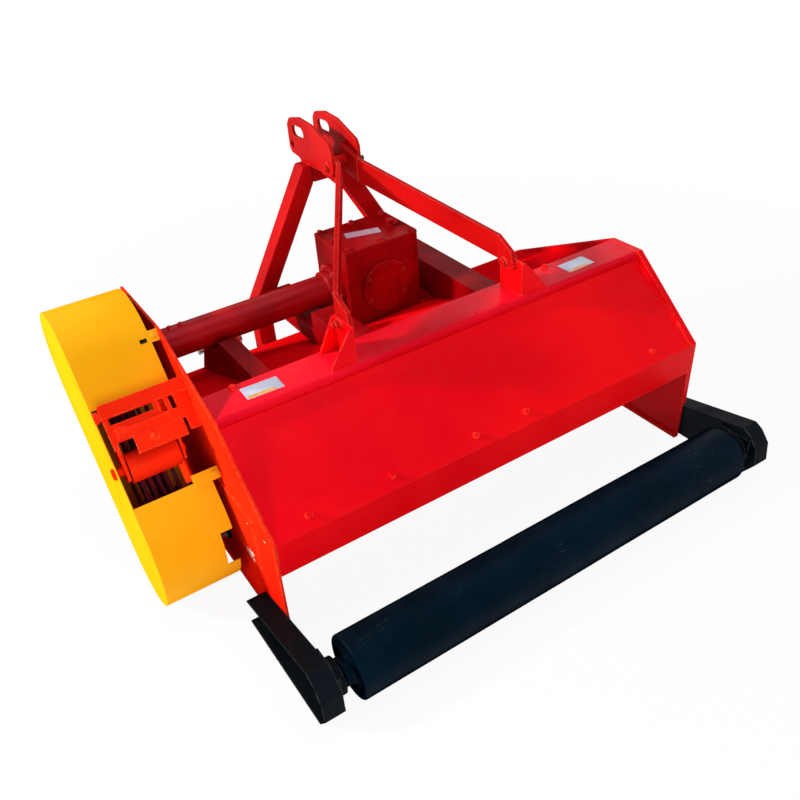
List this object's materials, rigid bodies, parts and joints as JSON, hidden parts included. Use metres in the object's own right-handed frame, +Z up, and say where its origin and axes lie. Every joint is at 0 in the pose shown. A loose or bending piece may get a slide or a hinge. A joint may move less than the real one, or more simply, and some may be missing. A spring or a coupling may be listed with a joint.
{
  "type": "straw crusher",
  "caption": "Tractor-mounted straw crusher with a flail rotor under a hood, a side belt drive, a gearbox and shaft tube, a hitch mast and a rear roller.",
  "frame": {"origin": "bottom centre of the whole machine's box, on the ground", "axes": "+X to the right seen from behind, along the rotor; +Y forward to the tractor; +Z up"},
  "size_m": [1.833, 1.417, 1.066],
  "materials": {
    "red_paint": "glossy",
    "gearbox_casting": "satin",
    "yellow_paint": "glossy",
    "black_paint": "satin",
    "cast_iron": "rough",
    "bare_steel": "brushed",
    "belt_rubber": "matte"
  },
  "bodies": {
    "frame": {"rear_hood": "red_paint", "top_strip": "red_paint", "front_hood": "red_paint", "left_side_plate": "red_paint", "right_side_plate": "red_paint", "skid_bars": "red_paint", "front_beam": "red_paint", "gearbox_rails": "red_paint", "gearbox_base": "red_paint", "tube_stand": "red_paint", "gearbox_housing": "gearbox_casting", "gearbox_covers": "gearbox_casting", "shaft_tube": "red_paint", "mast_legs": "red_paint", "mast_head": "red_paint", "clevis_plates": "red_paint", "stay_bars": "red_paint", "stay_brackets": "red_paint", "hitch_brackets": "red_paint", "hitch_pins": "bare_steel", "belt_guard": "yellow_paint", "guard_tabs": "yellow_paint", "drive_belts": "belt_rubber", "tensioner_frame": "red_paint", "tensioner_arm": "red_paint", "idler_pin": "bare_steel", "left_roller_arm": "black_paint", "right_roller_arm": "black_paint", "roller_bearings": "black_paint", "rotor_bearings": "cast_iron", "drive_bearing": "cast_iron"},
    "rotor": {"rotor_tube": "red_paint", "rotor_lugs": "red_paint", "rotor_flails": "bare_steel", "rotor_shafts": "bare_steel", "driven_pulley": "cast_iron"},
    "rear_roller": {"roller_drum": "black_paint", "roller_stubs": "bare_steel"},
    "drive_line": {"drive_pulley": "cast_iron", "drive_shaft": "bare_steel"},
    "pto_input": {"pto_shaft": "bare_steel"},
    "idler": {"idler_roller": "red_paint"}
  },
  "joints": [
    {"name": "rotor_spin", "type": "hinge", "parent": "frame", "child": "rotor", "pos_m": [0.0965, 0.0095, 0.22], "axis": [1, 0, 0], "continuous": true},
    {"name": "roller_spin", "type": "hinge", "parent": "frame", "child": "rear_roller", "pos_m": [0.0965, -0.6185, 0.09], "axis": [1, 0, 0], "continuous": true},
    {"name": "drive_pulley_spin", "type": "hinge", "parent": "frame", "child": "drive_line", "pos_m": [-0.8045, 0.3345, 0.6], "axis": [1, 0, 0], "continuous": true},
    {"name": "pto_spin", "type": "hinge", "parent": "frame", "child": "pto_input", "pos_m": [0.0965, 0.4875, 0.6], "axis": [0, 1, 0], "continuous": true},
    {"name": "idler_spin", "type": "hinge", "parent": "frame", "child": "idler", "pos_m": [-0.8045, 0.00869, 0.46807], "axis": [1, 0, 0], "continuous": true}
  ],
  "couplings": [
    {"joint": "drive_pulley_spin", "follows": "rotor_spin", "ratio": 0.75},
    {"joint": "pto_spin", "follows": "rotor_spin", "ratio": 0.38793},
    {"joint": "idler_spin", "follows": "rotor_spin", "ratio": -2.5238}
  ]
}
